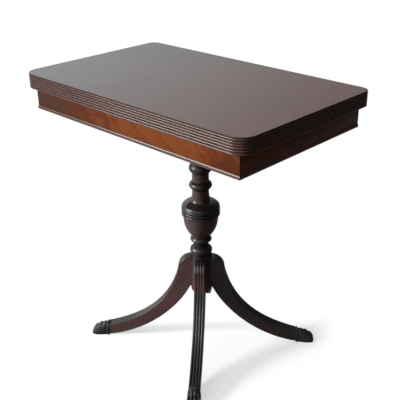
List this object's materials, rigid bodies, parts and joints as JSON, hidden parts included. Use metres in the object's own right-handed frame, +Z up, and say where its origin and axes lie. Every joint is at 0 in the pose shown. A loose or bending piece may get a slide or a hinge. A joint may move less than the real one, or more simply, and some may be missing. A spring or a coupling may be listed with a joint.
{
  "type": "flip-top game table",
  "caption": "Pedestal card table whose hinged double top swivels a quarter turn and folds open over a shallow well, on an urn column with reeded sabre legs and cast paw toe caps.",
  "frame": {"origin": "on the floor, under the pedestal's middle front to back and the closed top's middle side to side", "axes": "+X along the closed top's long side to the right of someone facing its front, +Y towards the hinged back edge, +Z up"},
  "size_m": [0.732, 0.4988, 0.74],
  "materials": {
    "top_mahogany": "polished dark red-brown mahogany",
    "apron_veneer": "polished figured mahogany veneer",
    "dark_mahogany": "polished near-black mahogany",
    "secondary_wood": "plain sawn and planed, unpolished",
    "brass": "aged satin brass",
    "iron": "dark satin iron",
    "bronze": "dark green-black patina"
  },
  "bodies": {
    "pedestal_frame": {"front_rail": "apron_veneer", "back_rail": "apron_veneer", "left_rail": "apron_veneer", "right_rail": "apron_veneer", "cock_bead_front": "top_mahogany", "cock_bead_back": "top_mahogany", "cock_bead_left": "top_mahogany", "cock_bead_right": "top_mahogany", "corner_block_front_left": "secondary_wood", "corner_block_front_right": "secondary_wood", "corner_block_back_left": "secondary_wood", "corner_block_back_right": "secondary_wood", "column_rail": "secondary_wood", "pivot_rail": "secondary_wood", "well_board": "secondary_wood", "well_partition": "secondary_wood", "column": "dark_mahogany", "drum": "dark_mahogany", "drum_plate": "iron", "drum_bolt": "iron", "leg_front": "dark_mahogany", "leg_right": "dark_mahogany", "leg_back": "dark_mahogany", "leg_left": "dark_mahogany", "toe_cap_front": "bronze", "toe_cap_right": "bronze", "toe_cap_back": "bronze", "toe_cap_left": "bronze", "toe_screw_front": "iron", "toe_screw_right": "iron", "toe_screw_back": "iron", "toe_screw_left": "iron"},
    "lower_top": {"lower_leaf": "top_mahogany", "hinge_plate_left_lower": "brass", "hinge_plate_right_lower": "brass", "hinge_pin_left": "brass", "hinge_pin_right": "brass", "hinge_screw_left_lower_1": "brass", "hinge_screw_left_lower_2": "brass", "hinge_screw_right_lower_1": "brass", "hinge_screw_right_lower_2": "brass", "pivot_stud": "iron", "pivot_screw_1": "iron", "pivot_screw_2": "iron", "pivot_screw_3": "iron", "pivot_washer": "iron", "pivot_nut": "iron"},
    "upper_top": {"upper_leaf": "top_mahogany", "hinge_plate_left_upper": "brass", "hinge_plate_right_upper": "brass", "hinge_screw_left_upper_1": "brass", "hinge_screw_left_upper_2": "brass", "hinge_screw_right_upper_1": "brass", "hinge_screw_right_upper_2": "brass"}
  },
  "joints": [
    {"name": "swivel", "type": "hinge", "parent": "pedestal_frame", "child": "lower_top", "pos_m": [0.11275, 0.10075, 0.702], "axis": [0, 0, 1], "range_deg": [0, 90]},
    {"name": "leaf_flip", "type": "hinge", "parent": "lower_top", "child": "upper_top", "pos_m": [0, 0.214, 0.72115], "axis": [-1, 0, 0], "range_deg": [0, 180]}
  ]
}
